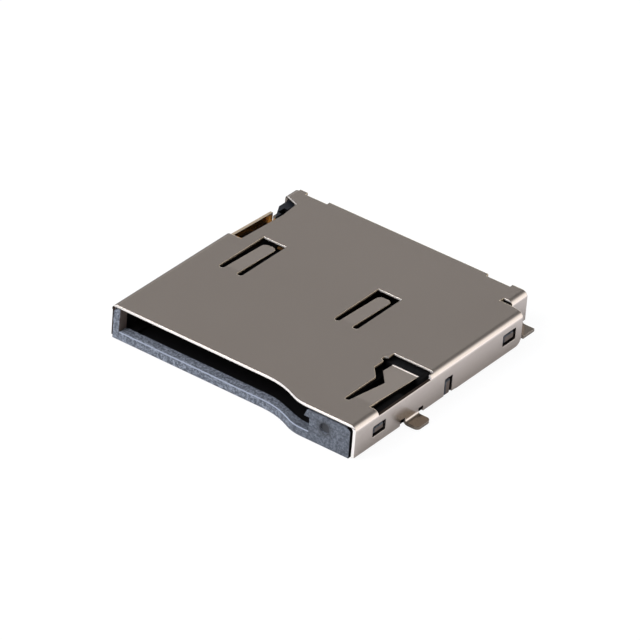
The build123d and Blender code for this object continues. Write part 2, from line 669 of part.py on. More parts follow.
def card_slot():
    """Room for the card, narrower behind the nose guide, with its lead-in and the bed."""
    rear = FRONT + FRONT_STEP + LEAD_IN_DEPTH
    nose_side = NOSE_RIGHT + CARD_SIDE_CLEARANCE
    room = slab(SLOT_LEFT, SLOT_RIGHT, -FAR, GUIDE_FRONT, FLOOR, FAR)
    room += slab(SLOT_LEFT, nose_side, GUIDE_FRONT - LEAD_IN_DEPTH, REAR_INNER, FLOOR, FAR)
    lead_in = outline(
        [
            (SLOT_LEFT - LEAD_IN_SIDE, FRONT), (SLOT_LEFT + LEAD_IN_SIDE, FRONT),
            (SLOT_LEFT + LEAD_IN_SIDE, rear), (SLOT_LEFT, rear),
            (SLOT_LEFT - LEAD_IN_SIDE, FRONT + FRONT_STEP),
        ],
    )
    room += prism(lead_in, FLOOR, CARD_CEILING)
    bed_rear = REAR - BED_FROM_REAR
    bed = slab(SLOT_LEFT + BED_INSET, SLOT_RIGHT - BED_INSET, FRONT, bed_rear, BED, FAR)
    return room + (bed - front_region(SLOT_RIGHT - LIP_STEP_INSET, BED_INSET))


def switch_corner():
    """Hollow corner of the housing behind the card switch, and the pocket in it."""
    side = -HOUSING_SIDE
    top = PLATE_BELOW - CORNER_DOWN
    inner = side + CORNER_INNER
    front, side_front = [REAR - y for y in CORNER_FROM_REAR]
    shape = outline([(inner, front), (inner, HOUSING_REAR), (side, HOUSING_REAR), (side, side_front)])
    x0, x1 = [side + x for x in CORNER_POCKET]
    y0, y1 = [REAR - y for y in CORNER_POCKET_FROM_REAR]
    return prism(shape, 0, top), slab(x0, x1, y0, y1, CORNER_POCKET_BOTTOM, FAR)


def bosses():
    """Blocks of the housing that show in the windows of the shell."""
    shapes = []
    outer = HOUSING_SIDE + BOSS_PROUD
    for y0, y1, z0, z1 in window_places():
        shapes.append(
            slab(CHANNEL_RIGHT, outer, y0 + BOSS_GAP, y1 - BOSS_GAP, z0 + BOSS_GAP, z1 - BOSS_GAP)
        )
    y0, y1 = [FRONT + y for y in MIDDLE_WINDOW_FROM_FRONT]
    rib_top = HEIGHT - MIDDLE_WINDOW_DOWN - RIB_TOP_GAP
    shapes.append(slab(CHANNEL_RIGHT, outer, y0 + RIB_GAP, y1 - RIB_GAP, RIB_BOTTOM, rib_top))
    return [chamfer(shape.faces().sort_by(Axis.X)[-1].edges(), BOSS_CHAMFER) for shape in shapes]


def make_housing(inserts):
    """One moulding: floor, card guides, front block, slider channel and switch corner."""
    body = slab(-HOUSING_SIDE, HOUSING_SIDE, FRONT, HOUSING_REAR, 0, HOUSING_TOP)
    body -= slab(RECESS_X - SHEET - HOUSING_FIT, FAR, RIGHT_WALL_END - SHEET, FAR, -FAR, FAR)
    rim = [e for e in body.edges().group_by(Axis.Z)[-1] if e.center().Y > FRONT + SHEET]
    body = chamfer(rim, TOP_CHAMFER)
    body -= card_slot()

    # Channel of the slider and the spring
    body -= slab(SLOT_RIGHT - SHEET, CHANNEL_RIGHT, BLOCK_REAR, GUIDE_FRONT, FLOOR, FAR)
    body -= slab(SLOT_RIGHT, CHANNEL_RIGHT, BLOCK_REAR, GUIDE_FRONT, CHANNEL_FLOOR, FAR)
    body -= slab(CHANNEL_LEFT, CHANNEL_RIGHT, BLOCK_REAR, SPRING_STOP, CHANNEL_FLOOR, FAR)
    axis = Plane(origin=(SPRING_X, SPRING_STOP + SHEET, SPRING_Z), x_dir=(1, 0, 0), z_dir=(0, -1, 0))
    body += extrude(axis * Circle(PEG_DIAMETER / 2), PEG_LENGTH + SHEET)
    step_front, step_middle, step_rear = [FRONT + y for y in WALL_STEP_PLACES]
    step_left = CHANNEL_RIGHT - SHEET
    body -= slab(step_left, FAR, step_front, step_middle, PLATE_BELOW - WALL_STEP_HIGH_DOWN, FAR)
    body -= slab(step_left, FAR, step_middle, step_rear, PLATE_BELOW - WALL_STEP_LOW_DOWN, FAR)

    # Front block: overhanging nib, dimple, room for the link
    nib = outline(
        [
            (SLOT_RIGHT + SHEET, CARD_CEILING), (SLOT_RIGHT - NIB_REACH, CARD_CEILING),
            (SLOT_RIGHT - NIB_REACH + NIB_SLANT_WIDTH, HOUSING_TOP), (SLOT_RIGHT + SHEET, HOUSING_TOP),
        ],
    )
    body += along_y(nib, FRONT, FRONT + NIB_LENGTH)
    centre = (HALF_WIDTH - DIMPLE_FROM_SIDE, FRONT + DIMPLE_DEPTH, PLATE_BELOW - DIMPLE_DOWN)
    dimple = Plane(origin=centre, x_dir=(1, 0, 0), z_dir=(0, -1, 0))
    body -= extrude(dimple * Circle(DIMPLE_DIAMETER / 2), FRONT_STEP)
    body -= fan()
    body -= block_surround()

    # Switch side: open wall and hollow corner
    corner, corner_pocket = switch_corner()
    open_front, open_rear = [REAR - y for y in SWITCH_FROM_REAR]
    body -= slab(-FAR, SLOT_LEFT, open_front, open_rear, FLOOR, FAR)
    body -= slab(-FAR, SLOT_LEFT, open_rear - SHEET, FAR, PLATE_BELOW - CORNER_DOWN, FAR)
    body += corner
    body -= corner_pocket

    # Pockets under the contacts
    half = CONTACT_POCKET_WIDTH / 2
    pocket_front, pocket_rear = [REAR - y for y in CONTACT_POCKET_FROM_REAR]
    for index in range(CONTACT_COUNT):
        x = contact_x(index)
        body -= slab(x - half, x + half, pocket_front, pocket_rear, CONTACT_POCKET_FLOOR, FLOOR)
    for boss in bosses():
        body += boss

    # Stepped front edge, with a small chamfer along the lip
    body -= front_region(SLOT_RIGHT - LIP_STEP_INSET, 0)
    lip = body.edges().filter_by_position(Axis.Z, FLOOR - LIP_CHAMFER, FLOOR + LIP_CHAMFER)
    lip = [e for e in lip if e.center().Y < FRONT + FRONT_STEP + LIP_CHAMFER and e.length > SHEET]
    body = chamfer(lip, LIP_CHAMFER)

    # Cheek in front of the end of the shell's left wall
    cheek_front = FRONT + FRONT_STEP
    cheek_rear = cheek_front + LEFT_WALL_SETBACK - HOUSING_FIT
    cheek_top = HEIGHT - BEND_OUTSIDE - HOUSING_FIT
    body += slab(-HOUSING_SIDE - CHEEK_PROUD, -HOUSING_SIDE, cheek_front, cheek_rear, 0, cheek_top)
    for insert in inserts:
        body -= insert
    return body


def make_slider():
    """Carriage with foot, heart track and spring pocket, at rest against the front block."""
    left = SLOT_RIGHT + SLIDER_CLEARANCE
    right = CHANNEL_RIGHT - SLIDER_CLEARANCE
    body = slab(left, right, SLIDER_FRONT, SLIDER_REAR, SLIDER_BOTTOM, SLIDER_TOP)
    body = chamfer(body.edges().filter_by(Axis.Z), SLIDER_EDGE)
    body += slab(left, right, TOWER_FRONT, SLIDER_REAR, SLIDER_TOP - SHEET, TOWER_TOP)
    tip_x = NOSE_RIGHT + FOOT_TIP_SETBACK
    tip_y = SLIDER_FRONT + FOOT_SETBACK
    root_x = left + SHEET
    foot = outline(
        [
            (tip_x, tip_y), (root_x, tip_y - (root_x - tip_x)), (root_x, tip_y + FOOT_LENGTH),
            (tip_x, tip_y + FOOT_LENGTH),
        ],
        [FOOT_RADIUS, 0, 0, FOOT_RADIUS],
    )
    body += prism(foot, FLOOR + FOOT_OVER_FLOOR, SLIDER_TOP - FOOT_STEP_DOWN)

    # Heart track
    half = LANE / 2
    track = slab(OUT_X - half, PIVOT_X + half, GROOVE_FRONT, GROOVE_REAR, GROOVE_FLOOR, FAR)
    island_rear = TIP_Y - ISLAND_REAR_GAP
    island_front = LOCK_Y - ISLAND_LOBE
    island = outline(
        [
            (OUT_X + half, island_front), (PIVOT_X - half, island_front),
            (PIVOT_X - half, island_rear - ISLAND_TAPER), (LOCK_X, island_rear),
            (OUT_X + half, island_rear - ISLAND_TAPER),
        ],
        [SLIDER_EDGE, SLIDER_EDGE, SHEET, SLIDER_EDGE, SHEET],
    )
    seat = WIRE / 2 + NOTCH_CLEARANCE
    heart = prism(island, GROOVE_FLOOR, SLIDER_TOP)
    heart -= Pos(LOCK_X, LOCK_Y, SLIDER_TOP) * Cylinder(seat, HEIGHT)
    heart -= slab(LOCK_X - seat, LOCK_X + seat, -FAR, LOCK_Y, -FAR, FAR)
    body -= track - heart

    # Spring pocket
    axis = Plane(origin=(SPRING_X, POCKET_BOTTOM, SPRING_Z), x_dir=(1, 0, 0), z_dir=(0, 1, 0))
    body -= extrude(axis * Circle(POCKET_DIAMETER / 2), FAR)
    return body


def make_link():
    """Bent wire: leg in the front block, arm under the leaf, toe in the track."""
    toe = GROOVE_FLOOR + GROOVE_FOOT_GAP
    path = FilletPolyline(
        (PIVOT_X, PIVOT_Y, PIVOT_LEG_BOTTOM), (PIVOT_X, PIVOT_Y, ARM_Z),
        (PIVOT_X, TIP_Y, ARM_Z), (PIVOT_X, TIP_Y, toe), radius=WIRE_BEND,
    )
    start = Plane(origin=(PIVOT_X, PIVOT_Y, PIVOT_LEG_BOTTOM))
    return sweep(start * Circle(WIRE / 2), path=path)


def make_spring():
    """Coil spring from the slider pocket to the stop."""
    first = POCKET_BOTTOM + SPRING_END_GAP + SPRING_WIRE / 2
    length = SPRING_STOP - SPRING_END_GAP - SPRING_WIRE / 2 - first
    radius = (SPRING_OUTSIDE - SPRING_WIRE) / 2
    start = (SPRING_X, first, SPRING_Z)
    coil = Helix(length / SPRING_COILS, length, radius, center=start, direction=(0, 1, 0))
    section = Plane(origin=coil @ 0, z_dir=coil % 0) * RegularPolygon(SPRING_WIRE / 2, SPRING_SIDES)
    return sweep(section, path=coil, is_frenet=True)


blade = make_blade()
terminal = make_terminal()
contacts = [make_contact(index) for index in range(CONTACT_COUNT)]
nodes = {
    "shell": make_shell(),
    "housing": make_housing(contacts + [blade, terminal]),
    "eject_slider": make_slider(),
    "eject_spring": make_spring(),
    "cam_link": make_link(),
    "detect_blade": blade,
    "detect_terminal": terminal,
}
for number, contact in enumerate(contacts, start=1):
    nodes[f"contact_{number}"] = contact

for name, shape in nodes.items():
    export_step(shape, f"parts/{name}.step")
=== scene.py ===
import bpy
from bpy.props import FloatProperty, FloatVectorProperty, IntProperty, PointerProperty
from math import cos, pi, radians, sin
from mathutils import Matrix, Vector


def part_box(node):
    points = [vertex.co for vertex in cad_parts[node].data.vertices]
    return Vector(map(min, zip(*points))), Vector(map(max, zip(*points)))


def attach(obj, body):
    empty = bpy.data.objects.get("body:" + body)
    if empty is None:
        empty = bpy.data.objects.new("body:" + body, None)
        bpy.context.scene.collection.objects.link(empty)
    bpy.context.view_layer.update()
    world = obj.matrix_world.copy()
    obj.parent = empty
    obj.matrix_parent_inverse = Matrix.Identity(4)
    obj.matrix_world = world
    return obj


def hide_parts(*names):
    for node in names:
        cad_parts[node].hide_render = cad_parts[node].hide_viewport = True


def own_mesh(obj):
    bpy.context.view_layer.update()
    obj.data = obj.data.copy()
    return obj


bl_info = {
    "name": "Card Socket",
    "version": (1, 0, 0),
    "blender": (4, 5, 0),
    "location": "View3D > Sidebar > Card Socket",
    "description": "Dresses the push-push card socket and sets up its studio",
    "category": "Object",
}

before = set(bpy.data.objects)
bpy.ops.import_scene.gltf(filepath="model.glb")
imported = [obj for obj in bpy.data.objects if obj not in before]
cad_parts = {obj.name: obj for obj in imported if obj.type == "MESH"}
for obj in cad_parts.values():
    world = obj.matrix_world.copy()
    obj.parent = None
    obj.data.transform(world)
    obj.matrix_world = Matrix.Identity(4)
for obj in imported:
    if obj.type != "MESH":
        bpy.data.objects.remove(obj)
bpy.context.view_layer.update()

MM = 0.001
SHELL_LOW, SHELL_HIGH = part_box("shell")
HOUSING_LOW, HOUSING_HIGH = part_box("housing")
BOSS_PROUD = 0.15
HOUSING_SIDE = HOUSING_HIGH.x - BOSS_PROUD * MM
SPRING_LOW, SPRING_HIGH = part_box("eject_spring")
SMOOTH_ANGLE = radians(50)

# The photograph's side in pixels and the camera's sensor in millimetres
PHOTO_SIDE = 640
SENSOR = 36.0

# How squarely a face looks along an axis, as its normal's share there
LEANING = 0.3
HALFWAY = 0.5
MOSTLY = 0.6
SQUARELY = 0.9
NEARLY_LEVEL = 0.95

# Shares of the sheet's thickness painted bright on its cut faces, sheared steel under a painted
# highlight, and a foot's height
BURNISH_HIGHLIGHT_SHARE = 0.83
OPENING_SHARE = 0.6
FLANK_SHARE = 0.35
FOOT_SHARE = 1.3

# Places and sizes on the shell in millimetres
SLACK = 0.01
FRONT_EDGE_DEPTH = 1.0
WALL_TOP_DOWN = 1.0
REAR_FOOT = 1.4
FOOT_CLEAR = 0.05
LEAF_DOWN = 0.25
LEAF_TOP_DOWN = 0.1
LEAF_TIP = 5.54
LEAF_RIM = 0.10
LEAF_CLEAR = 0.2

# The normal of the leaf's rolled rim, and the least that a worn edge with a painted highlight looks
# right and up
RIM_NORMAL = (0.0, 0.19, 0.982)
EDGE_RIGHT = -0.05
EDGE_UP = 0.2

# Places and sizes on the housing in millimetres
MOUTH_STEP = 0.65
MOUTH_STEP_FROM = 1.57
MOUTH_STEP_TO = 4.19
MOUTH_DEPTH = 0.55
MOUTH_FADE = 0.04
SLOT_INSET = 0.28
SLOT_WALL = 0.5
SLOT_FLOOR = 0.1
CORNER_TOP_DOWN = 0.25
CORNER_WIDTH = 0.8
CORNER_LENGTH = 2.4
GAP_REACH = 0.3
SPOT_X = 5.475
SPOT_Z = 0.97
SPOT_REACH = 0.50

# Patterns in the surfaces: sizes in millimetres, and strengths
CLOUD = 4.0
GRAIN_RELIEF = 0.004
GRAIN_STRENGTH = 0.12
FLECK_RELIEF = 0.01
FLECK_STRENGTH = 0.25

# Where in its noise a fleck starts and is full
FLECK_FROM = 0.43
FLECK_TO = 0.64

# How nearly the rounded normal keeps to the face's own where an edge starts and is full
EDGE_FROM = 0.995
EDGE_TO = 0.93

# Roughness of the cut steel, and of the polymers as moulded, under the black painted shade and on the
# slider
CUT_ROUGHNESS = 0.6
MOULDED_ROUGHNESS = 0.42
BLACK_SHADE_ROUGHNESS = 0.95
SLIDER_ROUGHNESS = 0.8

# The table's side, its gap below the feet and the reach beneath them where it is clear, in metres
TABLE_SIDE = 4.0
TABLE_GAP = 0.01 * MM
TABLE_CLEAR = 0.05 * MM

# Shares of the table that glow to the eye and in mirrors, and how brightly
SEEN_SHARE = 0.9
MIRRORED_SHARE = 0.1
TABLE_GLOW = 1.03
BRIGHT_GLOW = 12.0
GREY_GLOW = 0.36

# Where the table changes as the metal mirrors it: the start and the end of each change
BRIGHT_RIGHT = (8.5 * MM, 12.0 * MM)
GREY_LEFT = (-7.8 * MM, -8.5 * MM)
GREY_BEHIND = (8.5 * MM, 10.0 * MM)
GREY_UP_TO = (8.2 * MM, 7.2 * MM)

# Shares of the height between which the room's light grows
SKY_FROM = 0.1
SKY_TO = 0.9

# The mirrored room round to its large soft light: how nearly towards it, and how bright there
EVEN_TO = 0.30
DARK_FROM = 0.42
DARK_TO = 0.66
GROWING = ((0.78, 0.15), (0.88, 0.37), (0.94, 0.70), (1.0, 1.0))

# Where the mirrored backdrop starts and is full, as shares of the direction
BACKDROP_TOP = (0.40, 0.28)
BACKDROP_RIGHT = (0.2, -0.1)
BACKDROP_LEFT = (-0.66, -0.56)


def colour(text):
    """Linear red, green and blue of an sRGB hex colour."""
    channels = [int(text[i:i + 2], 16) / 255 for i in (1, 3, 5)]
    return [c / 12.92 if c <= 0.04045 else ((c + 0.055) / 1.055) ** 2.4 for c in channels]


def solid(shade):
    """A linear colour with full opacity, as sockets want it."""
    return (*shade, 1.0)


def rgba(text):
    """An sRGB hex colour with full opacity, as sockets want it."""
    return solid(colour(text))


def add_node(tree, kind, inputs=None, **settings):
    """Adds one node: settings are its properties, inputs its sockets' values or what feeds them."""
    made = tree.nodes.new(kind)
    for name, value in settings.items():
        setattr(made, name, value)
    for name, source in (inputs or {}).items():
        if isinstance(source, bpy.types.NodeSocket):
            tree.links.new(source, made.inputs[name])
        else:
            made.inputs[name].default_value = source
    return made


def new_material(name):
    """A new material and its node tree, emptied."""
    material = bpy.data.materials.new(name)
    material.use_nodes = True
    material.node_tree.nodes.clear()
    return material, material.node_tree


def per_mm(size):
    """Texture scale at which one feature is about this many millimetres."""
    return 1 / (size * MM)


def over(tree, value, limit):
    """One above the limit, nought below."""
    return add_node(tree, "ShaderNodeMath", {0: value, 1: limit}, operation="GREATER_THAN").outputs[0]


def under(tree, value, limit):
    """One below the limit, nought above."""
    return add_node(tree, "ShaderNodeMath", {0: value, 1: limit}, operation="LESS_THAN").outputs[0]


def all_of(tree, first, *others):
    """One where every mask is one. A number among them scales the result."""
    for mask in others:
        first = add_node(tree, "ShaderNodeMath", {0: first, 1: mask}, operation="MULTIPLY").outputs[0]
    return first


def any_of(tree, first, *others):
    """One where at least one mask is one."""
    for mask in others:
        first = add_node(tree, "ShaderNodeMath", {0: first, 1: mask}, operation="MAXIMUM").outputs[0]
    return first


def fade(tree, value, start, end):
    """Nought up to the start, one from the end on, and even between them."""
    return add_node(
        tree, "ShaderNodeMapRange", {"Value": value, "From Min": start, "From Max": end},
    ).outputs[0]


def tinted(tree, base, mask, tint):
    """The base colour, turned to the tint where the mask is one."""
    return add_node(
        tree, "ShaderNodeMix", {"Factor": mask, "A": base, "B": tint}, data_type="RGBA",
    ).outputs["Result"]


def painted(tree, tone, coats):
    """The tone under its coats, each a mask and a hex colour, with the last on top."""
    for mask, text in coats:
        tone = tinted(tree, tone, mask, rgba(text))
    return tone


def valued(tree, base, mask, value):
    """The base number, turned to another where the mask is one."""
    return add_node(tree, "ShaderNodeMix", {"Factor": mask, "A": base, "B": value}).outputs["Result"]


def worn_edges(tree, radius, pattern, relief, strength):
    """Normals that round the sharp edges over a small radius, bare and with the surface's relief."""
    rounded = add_node(tree, "ShaderNodeBevel", {"Radius": radius}, samples=6).outputs[0]
    rough = add_node(
        tree, "ShaderNodeBump",
        {"Strength": strength, "Distance": relief * MM, "Height": pattern, "Normal": rounded},
    ).outputs[0]
    return rounded, rough


def place_and_normal(tree):
    """Object coordinates, whole and split, and the normal, whole and split."""
    place = add_node(tree, "ShaderNodeTexCoord").outputs["Object"]
    normal = add_node(tree, "ShaderNodeNewGeometry").outputs["Normal"]
    at = add_node(tree, "ShaderNodeSeparateXYZ", {"Vector": place}).outputs
    facing = add_node(tree, "ShaderNodeSeparateXYZ", {"Vector": normal}).outputs
    return place, at, normal, facing


def cut_faces(tree, at, facing, sheet):
    """The sheet's cut faces. Bright: a painted highlight on the sheared upper part where it faces the
    front lamp, on the front end of the right wall and on the cut across its bend. Tan: a paler
    painted highlight on the upper part of the flanks that face right, and on the left wall's top.
    Dark: painted shade on the rest of the cut faces in the plate, the torn lower part among them,
    on the front end of the left wall and on the right wall's lowered top."""
    slack = SLACK * MM
    front = SHELL_LOW.y + FRONT_EDGE_DEPTH * MM
    down = add_node(
        tree, "ShaderNodeMath", {0: SHELL_HIGH.z, 1: at["Z"]}, operation="SUBTRACT",
    ).outputs[0]
    tilt = add_node(tree, "ShaderNodeMath", {0: facing["Z"]}, operation="ABSOLUTE").outputs[0]
    upright = under(tree, tilt, LEANING)
    in_plate = all_of(tree, upright, under(tree, down, sheet + slack))
    to_front = under(tree, facing["Y"], -LEANING)
    to_opening = over(tree, at["Y"], front)
    # Depth of the painted highlight from the top of a cut face, less round the openings
    burnish_highlight_depth = valued(tree, BURNISH_HIGHLIGHT_SHARE * sheet, to_opening, OPENING_SHARE * sheet)
    across_bend = all_of(
        tree, upright, to_front, to_opening, over(tree, at["X"], HOUSING_SIDE - sheet),
        under(tree, down, 2 * sheet),
    )
    wall_front = all_of(
        tree, under(tree, facing["Y"], -SQUARELY), under(tree, at["Y"], front),
        over(tree, down, sheet),
    )
    # Painted highlight: these cut faces are painted white
    bright = any_of(
        tree, all_of(tree, in_plate, over(tree, burnish_highlight_depth, down), to_front),
        all_of(tree, wall_front, over(tree, at["X"], 0.0)), across_bend,
    )
    lowered = all_of(
        tree, over(tree, facing["Z"], SQUARELY), over(tree, down, sheet),
        under(tree, down, WALL_TOP_DOWN * MM),
    )
    on_leaf = over(tree, down, slack + LEAF_DOWN * MM / 4)
    # Depth of the pale brown painted highlight on the flanks, more on the leaf
    worn = valued(tree, FLANK_SHARE * sheet, on_leaf, OPENING_SHARE * sheet)
    flank = all_of(tree, in_plate, over(tree, facing["X"], LEANING), over(tree, worn, down))
    tan_highlight = any_of(tree, flank, all_of(tree, lowered, under(tree, at["X"], -HOUSING_SIDE)))
    # Painted shade: these cut faces are painted dark
    dark = any_of(
        tree, in_plate, all_of(tree, wall_front, under(tree, at["X"], -HOUSING_SIDE - slack)),
        all_of(tree, lowered, over(tree, at["X"], HOUSING_SIDE)),
    )
    return bright, tan_highlight, dark


def leaf_rim(tree, at, facing):
    """The rolled rear rim of the side leaf, which takes a tilted normal and a white painted highlight.
    """
    rear = HOUSING_LOW.y + LEAF_TIP * MM
    return all_of(
        tree, over(tree, facing["Z"], HALFWAY), over(tree, at["Y"], rear - LEAF_RIM * MM),
        under(tree, at["Y"], rear + 2 * SLACK * MM), over(tree, at["Z"], SHELL_HIGH.z - LEAF_DOWN * MM),
        under(tree, at["Z"], SHELL_HIGH.z - LEAF_TOP_DOWN * MM),
        under(tree, at["X"], HOUSING_SIDE - LEAF_CLEAR * MM), over(tree, at["X"], 0.0),
    )


def worn_edge_highlights(tree, at, normal, rounded):
    """The plate's edges that look up and to the right: where the rounded normal leaves the face's. They
    are painted pale, edge wear under a painted highlight.
    """
    together = add_node(
        tree, "ShaderNodeVectorMath", {0: normal, 1: rounded}, operation="DOT_PRODUCT",
    ).outputs["Value"]
    turned = add_node(tree, "ShaderNodeSeparateXYZ", {"Vector": rounded}).outputs
    return all_of(
        tree, fade(tree, together, EDGE_FROM, EDGE_TO), over(tree, turned["X"], EDGE_RIGHT),
        over(tree, turned["Z"], EDGE_UP), over(tree, at["Z"], SHELL_HIGH.z - LEAF_DOWN * MM),
        under(tree, at["X"], HOUSING_SIDE),
    )


def solder_feet(tree, at, sheet):
    """The feet, which lie lowest and stand out from the walls or at the rear, and the rear ones."""
    rear = over(tree, at["Y"], HOUSING_HIGH.y - REAR_FOOT * MM)
    out = add_node(tree, "ShaderNodeMath", {0: at["X"]}, operation="ABSOLUTE").outputs[0]
    aside = over(tree, out, HOUSING_SIDE + sheet + FOOT_CLEAR * MM)
    feet = all_of(
        tree, under(tree, at["Z"], SHELL_LOW.z + sheet * FOOT_SHARE), any_of(tree, rear, aside),
    )
    return feet, all_of(tree, feet, rear)


def sheet_steel(finish):
    """Nickel-plated spring steel, rolled and stamped: a satin grey-brown mirror with a faint
    rolling grain along Y. The cut faces are pale in the sheared part that faces the front lamp, a
    painted highlight, and dark in the torn part below, partly painted shade; the upward edges and
    the leaf's rim carry painted highlights, and the feet, tinned for soldering, are darker: partly
    the duller tin and partly painted shade, less so at the rear."""
    material, tree = new_material("nickel_plated_steel_sheet")
    place, at, normal, facing = place_and_normal(tree)
    sheet = finish.sheet * MM
    across = per_mm(finish.grain_width)
    stretched = add_node(
        tree, "ShaderNodeMapping",
        {"Vector": place, "Scale": (across, per_mm(finish.grain_length), across)},
    )
    grain = add_node(
        tree, "ShaderNodeTexNoise",
        {"Vector": stretched.outputs[0], "Scale": 1.0, "Detail": 3.0, "Roughness": 0.6},
    ).outputs["Fac"]
    cloud = add_node(
        tree, "ShaderNodeTexNoise", {"Vector": place, "Scale": per_mm(CLOUD), "Detail": 2.0},
    ).outputs["Fac"]
    rounded, relief = worn_edges(
        tree, finish.edge_radius * MM, grain, GRAIN_RELIEF, GRAIN_STRENGTH,
    )
    bright, tan_highlight, dark = cut_faces(tree, at, facing, sheet)
    feet, rear_feet_less_shaded = solder_feet(tree, at, sheet)
    # The leaf's rim: a tilted normal and a white painted highlight
    rim = leaf_rim(tree, at, facing)
    plating = tinted(tree, solid(finish.steel), grain, solid(finish.steel_grain))
    tone = painted(tree, plating, (
        # Painted shade on the feet, partly the duller tin there; the rear feet less shaded
        (feet, "#857a6e"),
        (rear_feet_less_shaded, "#9b9187"),
        # Painted shade on the dark cut faces
        (dark, "#3b2f28"),
        # Painted highlight on the worn edges that look up and to the right
        (worn_edge_highlights(tree, at, normal, rounded), "#d9c8b0"),
        # Pale brown painted highlight on the right-facing flanks and the left wall's top
        (tan_highlight, "#d8c6ad"),
        # White painted highlight on the front-facing cut faces and on the leaf's rim
        (any_of(tree, bright, rim), "#fbf5ee"),
    ))
    polish = add_node(
        tree, "ShaderNodeMapRange", {"Value": cloud, "To Min": 0.21, "To Max": 0.26},
    ).outputs[0]
    polish = valued(tree, polish, any_of(tree, bright, tan_highlight, dark), CUT_ROUGHNESS)
    relief = add_node(
        tree, "ShaderNodeMix", {"Factor": rim, "A": relief, "B": RIM_NORMAL}, data_type="VECTOR",
    ).outputs["Result"]
    skin = add_node(
        tree, "ShaderNodeBsdfPrincipled",
        {"Base Color": tone, "Metallic": 1.0, "Roughness": polish, "Normal": relief},
    )
    add_node(tree, "ShaderNodeOutputMaterial", {"Surface": skin.outputs[0]})
    return material


def hidden_faces(tree, at):
    """The faces of the housing that the shell keeps dark, which take the black painted shade: all behind
    the mouth's edge, which runs in a soft step from left to right, apart from the left, rear and
    bottom outsides and the bosses."""
    slack = 2 * SLACK * MM
    edge = add_node(
        tree, "ShaderNodeMapRange",
        {"Value": at["X"], "From Min": MOUTH_STEP_FROM * MM, "From Max": MOUTH_STEP_TO * MM,
         "To Min": HOUSING_LOW.y + MOUTH_STEP * MM, "To Max": HOUSING_LOW.y},
        interpolation_type="SMOOTHSTEP",
    ).outputs[0]
    depth = add_node(tree, "ShaderNodeMath", {0: at["Y"], 1: edge}, operation="SUBTRACT").outputs[0]
    return all_of(
        tree, fade(tree, depth, (MOUTH_DEPTH - MOUTH_FADE) * MM, MOUTH_DEPTH * MM),
        over(tree, at["X"], -HOUSING_SIDE + SLOT_INSET * MM),
        under(tree, at["X"], HOUSING_SIDE + slack),
        under(tree, at["Y"], HOUSING_HIGH.y - slack), over(tree, at["Z"], slack),
    )


def corner_top(tree, at, facing):
    """The top of the open rear left corner, which the notch of the shell leaves in the light: it is kept
    out of the black painted shade and given a dark grey painted shade.
    """
    return all_of(
        tree, over(tree, facing["Z"], HALFWAY),
        over(tree, at["Z"], HOUSING_HIGH.z - CORNER_TOP_DOWN * MM),
        under(tree, at["X"], -HOUSING_SIDE + CORNER_WIDTH * MM),
        over(tree, at["Y"], HOUSING_HIGH.y - CORNER_LENGTH * MM),
    )


def gap_faces(tree, at, facing):
    """The sides of the narrow gap between the front block and the right wall, which take the black
    painted shade.
    """
    return all_of(
        tree, over(tree, facing["Y"], -MOSTLY), over(tree, facing["Z"], -HALFWAY),
        over(tree, at["X"], HOUSING_SIDE - GAP_REACH * MM),
        under(tree, at["Y"], HOUSING_LOW.y + MOUTH_DEPTH * MM),
        under(tree, at["X"], HOUSING_SIDE - 2 * SLACK * MM),
    )


def dark_sunk_spot(tree, place, facing):
    """The sunk spot on the front block, darker towards its middle."""
    middle = (SPOT_X * MM, HOUSING_LOW.y, SPOT_Z * MM)
    away = add_node(
        tree, "ShaderNodeVectorMath", {0: place, 1: middle}, operation="DISTANCE",
    ).outputs["Value"]
    near = fade(tree, away, SPOT_REACH * MM, SPOT_REACH * MM / 3)
    return all_of(tree, near, under(tree, facing["Y"], -HALFWAY))


def painted_warm_faces(tree, at, facing):
    """The bosses and the rib that show in the windows of the right wall, and the slot's left face:
    right-facing faces that take a painted warm light.
    """
    bosses = over(tree, at["X"], HOUSING_SIDE - SLACK * MM)
    slot_left = all_of(
        tree, under(tree, at["X"], -HOUSING_SIDE + SLOT_WALL * MM), over(tree, at["Z"], SLOT_FLOOR * MM),
        under(tree, at["Y"], HOUSING_LOW.y + (MOUTH_STEP + MOUTH_DEPTH) * MM),
    )
    return all_of(tree, over(tree, facing["X"], SQUARELY), any_of(tree, bosses, slot_left))


def slanted_edge_highlights(tree, facing):
    """The chamfers and slopes that look up to the front, which take a painted highlight."""
    return all_of(
        tree, over(tree, facing["Z"], LEANING), under(tree, facing["Z"], NEARLY_LEVEL),
        under(tree, facing["Y"], -LEANING),
    )


def fibre_flecks(tree, place, size):
    """The noise of fine flecks and the mask of their pale parts."""
    noise = add_node(
        tree, "ShaderNodeTexNoise",
        {"Vector": place, "Scale": per_mm(size), "Detail": 4.0, "Roughness": 0.85},
    ).outputs["Fac"]
    return noise, fade(tree, noise, FLECK_FROM, FLECK_TO)


def finish_polymer(tree, tint, dull, noise, edge_radius):
    """The shader of a moulding, with its edges slightly rounded."""
    relief = worn_edges(tree, edge_radius * MM, noise, FLECK_RELIEF, FLECK_STRENGTH)[1]
    skin = add_node(
        tree, "ShaderNodeBsdfPrincipled",
        {"Base Color": tint, "Roughness": dull, "Specular IOR Level": 0.15, "Normal": relief},
    )
    add_node(tree, "ShaderNodeOutputMaterial", {"Surface": skin.outputs[0]})


